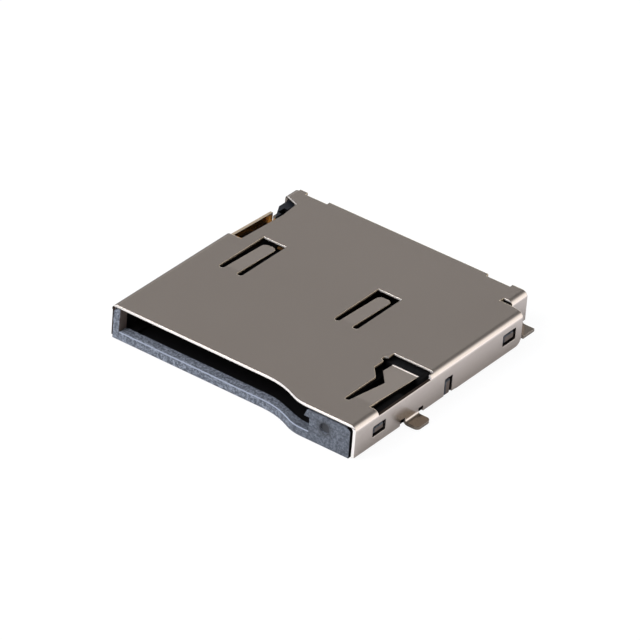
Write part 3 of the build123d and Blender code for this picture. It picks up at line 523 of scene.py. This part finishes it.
def grey_polymer(finish):
    """Glass-filled liquid crystal polymer, moulded: dull blue-grey with fine paler flecks where the
    glass fibre lies at the surface, palest at the left and darker to the right as a painted light
    falloff, and with painted highlights along the slanted edges. The inner faces are painted nearly
    black and rough as painted shade, the rear left corner's top a dark grey painted shade, and the
    bosses and the slot's left face a painted warm light, brown as from the wall round them. A round
    sunk spot on the front block is darker towards its middle. The flecks are drawn coarser than
    real so that they show."""
    material, tree = new_material("grey_moulded_polymer")
    place, at, _, facing = place_and_normal(tree)
    noise, flecks = fibre_flecks(tree, place, finish.fleck)
    # Painted light: the resin and its flecks darken from left to right
    painted_light_falloff = fade(tree, at["X"], MOUTH_STEP_FROM * MM, MOUTH_STEP_TO * MM)
    resin = tinted(tree, solid(finish.housing), painted_light_falloff, rgba("#505358"))
    fibre = tinted(tree, rgba("#a0a5ad"), painted_light_falloff, rgba("#7c8188"))
    corner = corner_top(tree, at, facing)
    # The corner's top is kept out of the black painted shade
    inner = valued(tree, hidden_faces(tree, at), corner, 0.0)
    black_painted_shade = any_of(tree, inner, gap_faces(tree, at, facing))
    tint = painted(tree, tinted(tree, resin, flecks, fibre), (
        # Painted highlight on the slanted edges
        (slanted_edge_highlights(tree, facing), "#9aa0aa"),
        # Darker towards the middle of the sunk spot
        (dark_sunk_spot(tree, place, facing), "#434344"),
        # Painted warm light on the bosses, the rib and the slot's left face
        (painted_warm_faces(tree, at, facing), "#6f625a"),
        # Dark grey painted shade on the corner's top
        (corner, "#212327"),
        # Black painted shade on the inner faces and in the gap
        (black_painted_shade, "#050404"),
    ))
    dull = valued(tree, MOULDED_ROUGHNESS, black_painted_shade, BLACK_SHADE_ROUGHNESS)
    finish_polymer(tree, tint, dull, noise, finish.edge_radius)
    return material


def black_polymer(finish):
    """The slider's polymer, moulded with black pigment: a dull, nearly black face with faint flecks
    of the same fibre."""
    material, tree = new_material("black_moulded_polymer")
    place = add_node(tree, "ShaderNodeTexCoord").outputs["Object"]
    noise, flecks = fibre_flecks(tree, place, finish.fleck)
    tint = tinted(tree, solid(finish.slider), flecks, rgba("#141415"))
    finish_polymer(tree, tint, SLIDER_ROUGHNESS, noise, finish.edge_radius)
    return material


def plated_metal(name, body, worn, roughness, patch, tails=None):
    """A thin plated or drawn metal part: a clean mirror with soft patches of a worn colour, each
    about patch millimetres wide, and another plating on the solder tails behind the housing where
    one is given."""
    material, tree = new_material(name)
    place = add_node(tree, "ShaderNodeTexCoord").outputs["Object"]
    patches = add_node(
        tree, "ShaderNodeTexNoise", {"Vector": place, "Scale": per_mm(patch), "Detail": 3.0},
    ).outputs["Fac"]
    tint = tinted(tree, solid(body), patches, rgba(worn))
    if tails:
        along = add_node(tree, "ShaderNodeSeparateXYZ", {"Vector": place}).outputs["Y"]
        behind = over(tree, along, HOUSING_HIGH.y - SLACK * MM)
        tint = tinted(tree, tint, behind, rgba(tails))
    dull = add_node(
        tree, "ShaderNodeMapRange",
        {"Value": patches, "To Min": roughness * 0.8, "To Max": roughness * 1.3},
    ).outputs[0]
    skin = add_node(
        tree, "ShaderNodeBsdfPrincipled", {"Base Color": tint, "Metallic": 1.0, "Roughness": dull},
    )
    add_node(tree, "ShaderNodeOutputMaterial", {"Surface": skin.outputs[0]})
    return material


def dress(node_name, material):
    """Gives a CAD node its finish."""
    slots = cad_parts[node_name].data.materials
    slots.clear()
    slots.append(material)


class SocketFinish(bpy.types.PropertyGroup):
    """Colours and sizes of the finishes."""
    steel: FloatVectorProperty(
        name="Steel", description="Colour of the plated sheet", subtype="COLOR",
        default=colour("#b8aca3"),
    )
    steel_grain: FloatVectorProperty(
        name="Steel grain", description="Colour of the sheet's pale rolling grain", subtype="COLOR",
        default=colour("#c3b9b1"),
    )
    housing: FloatVectorProperty(
        name="Housing", description="Colour of the housing's moulded face", subtype="COLOR",
        default=colour("#50545a"),
    )
    slider: FloatVectorProperty(
        name="Slider", description="Colour of the slider's moulded face", subtype="COLOR",
        default=colour("#060606"),
    )
    gold: FloatVectorProperty(
        name="Gold", description="Colour of the gold-plated switch", subtype="COLOR",
        default=colour("#e2a648"),
    )
    bronze: FloatVectorProperty(
        name="Bronze", description="Colour of the contacts' bare bronze", subtype="COLOR",
        default=colour("#7d5c38"),
    )
    wire: FloatVectorProperty(
        name="Wire", description="Colour of the bent wire", subtype="COLOR", default=colour("#c4bfb8"),
    )
    sheet: FloatProperty(
        name="Sheet thickness", description="Thickness of the shell's sheet in millimetres",
        default=0.15, min=0.05, max=0.4,
    )
    grain_width: FloatProperty(
        name="Grain width", description="Width of the rolling grain in millimetres",
        default=0.06, min=0.01, max=1.0,
    )
    grain_length: FloatProperty(
        name="Grain length", description="Length of the rolling grain in millimetres",
        default=0.5, min=0.01, max=5.0,
    )
    fleck: FloatProperty(
        name="Fleck size", description="Size of the flecks in the moulding in millimetres",
        default=0.14, min=0.01, max=1.0,
    )
    edge_radius: FloatProperty(
        name="Edge radius", description="Rounding of the sharp edges in millimetres",
        default=0.045, min=0.0, max=0.2,
    )


class SpringSizes(bpy.types.PropertyGroup):
    """Sizes and colour of the eject spring."""
    wire: FloatProperty(
        name="Wire", description="Diameter of the spring wire in millimetres",
        default=0.12, min=0.02, max=0.4,
    )
    coils: IntProperty(name="Coils", description="Number of turns", default=11, min=3, max=30)
    sides: IntProperty(name="Sides", description="Sides of the wire", default=10, min=4, max=32)
    steps: IntProperty(name="Steps", description="Steps to one turn", default=24, min=8, max=96)
    steel: FloatVectorProperty(
        name="Steel", description="Colour of the spring wire", subtype="COLOR",
        default=colour("#bdb8b1"),
    )


class StudioSettings(bpy.types.PropertyGroup):
    """Camera and light of the studio."""
    azimuth: FloatProperty(
        name="Azimuth", description="Turn of the camera round the socket",
        default=radians(34.27), subtype="ANGLE",
    )
    elevation: FloatProperty(
        name="Elevation", description="Height of the camera above the horizon",
        default=radians(32.39), subtype="ANGLE",
    )
    roll: FloatProperty(
        name="Roll", description="Tilt of the camera about its own axis",
        default=radians(4.72), subtype="ANGLE",
    )
    lens: FloatProperty(
        name="Lens", description="Focal length in millimetres", default=337.5, min=20.0, max=1000.0,
        unit="CAMERA",
    )
    distance: FloatProperty(
        name="Distance", description="Distance from the camera to its aim", default=0.2733,
        subtype="DISTANCE",
    )
    aim: FloatVectorProperty(
        name="Aim", description="Point that the camera is turned to", default=(0.0, 0.0001145, 0.001018),
        subtype="XYZ",
    )
    aim_pixel: FloatVectorProperty(
        name="Aim pixel", description="Where the aim falls in a square frame of 640 pixels",
        default=(325.06, 316.39), size=2,
    )
    surround: FloatProperty(
        name="Surround", description="Brightness of the room as the metal mirrors it", default=0.36,
        min=0.0, max=3.0,
    )
    glow: FloatProperty(
        name="Glow", description="Brightness of the large soft light that the bends mirror", default=2.0,
        min=0.1, max=20.0,
    )
    glow_direction: FloatVectorProperty(
        name="Glow direction", description="Where the large soft light stands", subtype="DIRECTION",
        default=(0.683, 0.698, 0.215),
    )
    dark_strip: FloatProperty(
        name="Dark strip", description="Share of the surround left beside the large soft light",
        default=0.66, min=0.0, max=1.0,
    )
    backdrop: FloatProperty(
        name="Backdrop", description="Brightness of the white backdrop low in the mirrored room",
        default=1.2, min=0.0, max=5.0,
    )
    horizon: FloatProperty(
        name="Horizon", description="Brightness of the room's light at the horizon", default=0.1,
        min=0.0, max=3.0,
    )
    zenith: FloatProperty(
        name="Zenith", description="Brightness of the room's light overhead", default=0.7,
        min=0.0, max=3.0,
    )


class SOCKET_OT_dress_shell(bpy.types.Operator):
    """Give the folded shell its stamped steel finish"""
    bl_idname = "card_socket.dress_shell"
    bl_label = "Dress Shell"

    def execute(self, context):
        dress("shell", sheet_steel(context.scene.socket_finish))
        return {"FINISHED"}


class SOCKET_OT_dress_mouldings(bpy.types.Operator):
    """Give the housing and the slider their moulded finishes"""
    bl_idname = "card_socket.dress_mouldings"
    bl_label = "Dress Mouldings"

    def execute(self, context):
        finish = context.scene.socket_finish
        dress("housing", grey_polymer(finish))
        dress("eject_slider", black_polymer(finish))
        return {"FINISHED"}


class SOCKET_OT_dress_metalwork(bpy.types.Operator):
    """Give the contacts, the switch and the bent wire their plated finishes"""
    bl_idname = "card_socket.dress_metalwork"
    bl_label = "Dress Metalwork"

    def execute(self, context):
        finish = context.scene.socket_finish
        # Stamped bronze strip with gold plated all over it: a warm yellow mirror
        gold = plated_metal(
            "gold_plated_bronze", finish.gold, "#c98b34", roughness=0.22, patch=0.6,
        )
        # The same strip, plated at its solder tails alone: brown and satin, with yellow ends. Its dark
        # bare bronze also serves as painted shade on the contacts seen inside the slot
        bronze = plated_metal(
            "part_gold_plated_bronze", finish.bronze, "#63482b", roughness=0.30, patch=0.6,
            tails="#dca248",
        )
        # Steel wire drawn through a die and bent: pale, smooth and slightly dull
        wire = plated_metal("drawn_steel_wire", finish.wire, "#a49e97", roughness=0.24, patch=0.4)
        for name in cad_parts:
            if name.startswith("detect_"):
                dress(name, gold)
            if name.startswith("contact_"):
                dress(name, bronze)
        dress("cam_link", wire)
        return {"FINISHED"}


class SOCKET_OT_wind_spring(bpy.types.Operator):
    """Wind the eject spring, which sits between the slider and its stop"""
    bl_idname = "card_socket.wind_spring"
    bl_label = "Wind Spring"

    def execute(self, context):
        sizes = context.scene.spring_sizes
        wire = sizes.wire * MM
        radius = (SPRING_HIGH.x - SPRING_LOW.x - wire) / 2
        centre = (SPRING_LOW + SPRING_HIGH) / 2
        length = SPRING_HIGH.y - SPRING_LOW.y
        bpy.ops.object.select_all(action="DESELECT")
        bpy.ops.mesh.primitive_circle_add(
            vertices=sizes.sides, radius=wire / 2, fill_type="NOTHING", location=(radius, 0, 0),
            rotation=(pi / 2, 0, 0),
        )
        spring = context.object
        spring.name = "eject_spring_coil"
        bpy.ops.object.transform_apply(location=True, rotation=True, scale=True)
        self.turn_coil(spring, length / sizes.coils, sizes)
        self.trim_ends(wire / 2, length - wire / 2)
        # A quarter of the wire nearer the slider: the first turn sinks a hair into the pocket's floor
        spring.rotation_euler = (-pi / 2, 0, 0)
        spring.location = (centre.x, SPRING_LOW.y - wire / 4, centre.z)
        bpy.ops.object.transform_apply(location=True, rotation=True, scale=True)
        bpy.ops.object.shade_smooth_by_angle(angle=SMOOTH_ANGLE)
        # Hard-drawn spring steel: smooth and grey, a little darker and duller than the bent wire
        steel = plated_metal("spring_wire", sizes.steel, "#98928b", roughness=0.28, patch=0.3)
        spring.data.materials.append(steel)
        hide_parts("eject_spring")
        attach(spring, "socket")
        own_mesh(spring)
        return {"FINISHED"}

    def turn_coil(self, spring, pitch, sizes):
        """Winds the wire's section up into the coil."""
        screw = spring.modifiers.new("turns", "SCREW")
        screw.axis = "Z"
        screw.angle = 2 * pi
        screw.screw_offset = pitch
        screw.iterations = sizes.coils
        screw.steps = screw.render_steps = sizes.steps
        screw.use_merge_vertices = False
        bpy.ops.object.modifier_apply(modifier=screw.name)

    def trim_ends(self, low, high):
        """Trims both ends of the wire and fills the cuts. The bisect keeps what lies within 0.1 mm of
        its plane, so the ends of so thin a wire come out a little uneven."""
        bpy.ops.object.mode_set(mode="EDIT")
        for level, clear_inner in ((low, True), (high, False)):
            bpy.ops.mesh.select_all(action="SELECT")
            bpy.ops.mesh.bisect(
                plane_co=(0, 0, level), plane_no=(0, 0, 1), use_fill=True,
                clear_inner=clear_inner, clear_outer=not clear_inner,
            )
        bpy.ops.mesh.select_all(action="SELECT")
        bpy.ops.mesh.normals_make_consistent(inside=False)
        bpy.ops.object.mode_set(mode="OBJECT")


class SOCKET_OT_build_studio(bpy.types.Operator):
    """Lay the pale table, hang the soft lamps and place the camera"""
    bl_idname = "card_socket.build_studio"
    bl_label = "Build Studio"

    def execute(self, context):
        scene = context.scene
        scene.view_settings.view_transform = "Standard"
        self.lay_table()
        self.light_room(scene, scene.studio_settings)
        self.hang_lamps(scene)
        self.place_camera(scene, scene.studio_settings)
        return {"FINISHED"}

    def lay_table(self):
        """A white table a hair below the feet: bright to the eye and in reflections, but it still
        takes the shadow. From beneath, and for the light that leaves the part's underside, it is
        clear, so that the underside can be looked at."""
        bpy.ops.object.select_all(action="DESELECT")
        bpy.ops.mesh.primitive_plane_add(size=TABLE_SIDE, location=(0, 0, SHELL_LOW.z - TABLE_GAP))
        table = bpy.context.object
        table.name = "table"
        material, tree = new_material("white_table")
        ray = add_node(tree, "ShaderNodeLightPath").outputs
        share, level = self.table_glow(tree, ray)
        cloth = add_node(tree, "ShaderNodeBsdfDiffuse", {"Color": rgba("#f4f4f4")})
        glow = add_node(tree, "ShaderNodeEmission", {"Color": rgba("#ffffff"), "Strength": level})
        top = add_node(
            tree, "ShaderNodeMixShader", {0: share, 1: cloth.outputs[0], 2: glow.outputs[0]},
        )
        beneath = add_node(tree, "ShaderNodeNewGeometry").outputs["Backfacing"]
        close = all_of(
            tree, any_of(tree, ray["Is Diffuse Ray"], ray["Is Shadow Ray"]),
            under(tree, ray["Ray Length"], TABLE_CLEAR),
        )
        clear = add_node(tree, "ShaderNodeBsdfTransparent")
        surface = add_node(
            tree, "ShaderNodeMixShader",
            {0: any_of(tree, beneath, close), 1: top.outputs[0], 2: clear.outputs[0]},
        )
        add_node(tree, "ShaderNodeOutputMaterial", {"Surface": surface.outputs[0]})
        table.data.materials.append(material)

    def table_glow(self, tree, ray):
        """How much of the table glows, and how brightly: white to the eye, and in mirrors brighter
        to the right and grey to the left and behind."""
        place = add_node(tree, "ShaderNodeTexCoord").outputs["Object"]
        at = add_node(tree, "ShaderNodeSeparateXYZ", {"Vector": place}).outputs
        glossy = ray["Is Glossy Ray"]
        left = fade(tree, at["X"], *GREY_LEFT)
        behind = all_of(tree, fade(tree, at["Y"], *GREY_BEHIND), fade(tree, at["X"], *GREY_UP_TO))
        grey = all_of(tree, any_of(tree, left, behind), glossy)
        seen = any_of(tree, ray["Is Camera Ray"], ray["Is Transmission Ray"])
        share = any_of(
            tree, all_of(tree, seen, SEEN_SHARE), all_of(tree, glossy, MIRRORED_SHARE), grey,
        )
        bright = all_of(tree, fade(tree, at["X"], *BRIGHT_RIGHT), glossy)
        level = valued(tree, TABLE_GLOW, bright, TABLE_GLOW + BRIGHT_GLOW)
        return share, valued(tree, level, grey, GREY_GLOW)

    def light_room(self, scene, settings):
        """White behind the table to the eye, the mirrored room in reflections, and for the rest an
        even light that is strongest from straight above and below."""
        world = bpy.data.worlds.new("room")
        scene.world = world
        world.use_nodes = True
        tree = world.node_tree
        tree.nodes.clear()
        ray = add_node(tree, "ShaderNodeLightPath").outputs
        direction = add_node(tree, "ShaderNodeTexCoord").outputs["Generated"]
        towards = add_node(tree, "ShaderNodeSeparateXYZ", {"Vector": direction}).outputs
        height = add_node(tree, "ShaderNodeMath", {0: towards["Z"]}, operation="ABSOLUTE").outputs[0]
        falling = add_node(
            tree, "ShaderNodeMapRange",
            {"Value": height, "From Min": SKY_FROM, "From Max": SKY_TO, "To Min": settings.horizon,
             "To Max": settings.zenith},
        ).outputs[0]
        room = add_node(tree, "ShaderNodeBackground", {"Color": rgba("#f2f6ff"), "Strength": falling})
        metal_side = self.mirrored_room(tree, direction, towards, settings)
        mirrored = add_node(
            tree, "ShaderNodeBackground", {"Color": rgba("#ffffff"), "Strength": metal_side},
        )
        backdrop = add_node(tree, "ShaderNodeBackground", {"Color": rgba("#ffffff"), "Strength": 1.0})
        unseen = add_node(
            tree, "ShaderNodeMixShader",
            {0: ray["Is Glossy Ray"], 1: room.outputs[0], 2: mirrored.outputs[0]},
        )
        mix = add_node(
            tree, "ShaderNodeMixShader",
            {0: ray["Is Camera Ray"], 1: unseen.outputs[0], 2: backdrop.outputs[0]},
        )
        add_node(tree, "ShaderNodeOutputWorld", {"Surface": mix.outputs[0]})

    def mirrored_room(self, tree, direction, towards, settings):
        """What the metal mirrors: an even room that darkens towards a large soft light low behind to
        the right, which gives the bends their cream line, and a white backdrop behind to the left."""
        glow_way = Vector(settings.glow_direction).normalized()
        to_glow = add_node(
            tree, "ShaderNodeVectorMath", {0: direction, 1: glow_way}, operation="DOT_PRODUCT",
        ).outputs["Value"]
        ramp = add_node(tree, "ShaderNodeValToRGB", {"Fac": to_glow})
        band = ramp.color_ramp
        even = settings.surround / settings.glow
        dark = even * settings.dark_strip
        stops = ((EVEN_TO, even), (DARK_FROM, dark), (DARK_TO, dark), *GROWING)
        while len(band.elements) < len(stops):
            band.elements.new(0.5)
        for element, (position, level) in zip(band.elements, stops):
            element.position = position
            element.color = (level, level, level, 1.0)
        around = all_of(tree, ramp.outputs[0], settings.glow)
        backdrop = all_of(
            tree, fade(tree, towards["Z"], *BACKDROP_TOP), fade(tree, towards["X"], *BACKDROP_RIGHT),
            fade(tree, towards["X"], *BACKDROP_LEFT), settings.backdrop,
        )
        return add_node(tree, "ShaderNodeMath", {0: around, 1: backdrop}, operation="ADD").outputs[0]

    def hang_lamps(self, scene):
        """A soft box above, a cool one in front to the left, and a warm one behind to the right that
        the metal doesn't mirror."""
        # Each lamp's place and size in metres, its brightness and its colour
        lamps = {
            "softbox_above": ((-0.10, -0.05, 0.28), (0.22, 0.22), 0.8, "#ffffff"),
            "softbox_front": ((-0.124, -0.177, 0.200), (0.18, 0.14), 9.5, "#eef2ff"),
            "softbox_fill": ((0.14, 0.19, 0.13), (0.20, 0.22), 0.75, "#fff4e8"),
        }
        for name, (place, size, radiance, tint) in lamps.items():
            lamp = bpy.data.lights.new(name, "AREA")
            lamp.shape = "RECTANGLE"
            lamp.color = colour(tint)
            lamp.size, lamp.size_y = size
            lamp.energy = radiance * pi * size[0] * size[1]
            holder = bpy.data.objects.new(name, lamp)
            holder.location = place
            holder.rotation_euler = Vector(place).to_track_quat("Z", "Y").to_euler()
            holder.visible_glossy = name != "softbox_fill"
            scene.collection.objects.link(holder)

    def place_camera(self, scene, view):
        """The long-lens camera of the photograph, slightly rolled."""
        lens = bpy.data.cameras.new("camera")
        lens.lens = view.lens
        lens.sensor_width = SENSOR
        lens.clip_start = 0.01
        lens.clip_end = 20.0
        camera = bpy.data.objects.new("camera", lens)
        scene.collection.objects.link(camera)
        scene.camera = camera
        turn, height, roll = view.azimuth, view.elevation, view.roll
        back = Vector((sin(turn) * cos(height), -cos(turn) * cos(height), sin(height)))
        right = Vector((cos(turn), sin(turn), 0))
        up = back.cross(right)
        across = cos(roll) * right + sin(roll) * up
        upward = cos(roll) * up - sin(roll) * right
        pixel = view.distance * SENSOR / view.lens / PHOTO_SIDE
        half = PHOTO_SIDE / 2
        place = Vector(view.aim) + back * view.distance
        place -= across * (view.aim_pixel[0] - half) * pixel
        place += upward * (view.aim_pixel[1] - half) * pixel
        axes = Matrix((across, upward, back)).transposed().to_4x4()
        camera.matrix_world = Matrix.Translation(place) @ axes


class SOCKET_PT_panel(bpy.types.Panel):
    """Lists the socket's operators and settings"""
    bl_idname = "SOCKET_PT_panel"
    bl_label = "Card Socket"
    bl_space_type = "VIEW_3D"
    bl_region_type = "UI"
    bl_category = "Card Socket"

    def draw(self, context):
        for operator in OPERATORS:
            self.layout.operator(operator.bl_idname)
        for group in SETTINGS:
            settings = getattr(context.scene, group)
            for name in settings.__annotations__:
                self.layout.prop(settings, name)


OPERATORS = (
    SOCKET_OT_dress_shell,
    SOCKET_OT_dress_mouldings,
    SOCKET_OT_dress_metalwork,
    SOCKET_OT_wind_spring,
    SOCKET_OT_build_studio,
)
SETTINGS = {
    "socket_finish": SocketFinish,
    "spring_sizes": SpringSizes,
    "studio_settings": StudioSettings,
}


def register():
    for group in SETTINGS.values():
        bpy.utils.register_class(group)
    for name, group in SETTINGS.items():
        setattr(bpy.types.Scene, name, PointerProperty(type=group))
    for operator in OPERATORS:
        bpy.utils.register_class(operator)
    bpy.utils.register_class(SOCKET_PT_panel)


def unregister():
    bpy.utils.unregister_class(SOCKET_PT_panel)
    for operator in reversed(OPERATORS):
        bpy.utils.unregister_class(operator)
    for name, group in SETTINGS.items():
        delattr(bpy.types.Scene, name)
        bpy.utils.unregister_class(group)


def main():
    register()
    bpy.ops.card_socket.dress_shell()
    bpy.ops.card_socket.dress_mouldings()
    bpy.ops.card_socket.dress_metalwork()
    bpy.ops.card_socket.wind_spring()
    bpy.ops.card_socket.build_studio()


if __name__ == "__main__":
    main()
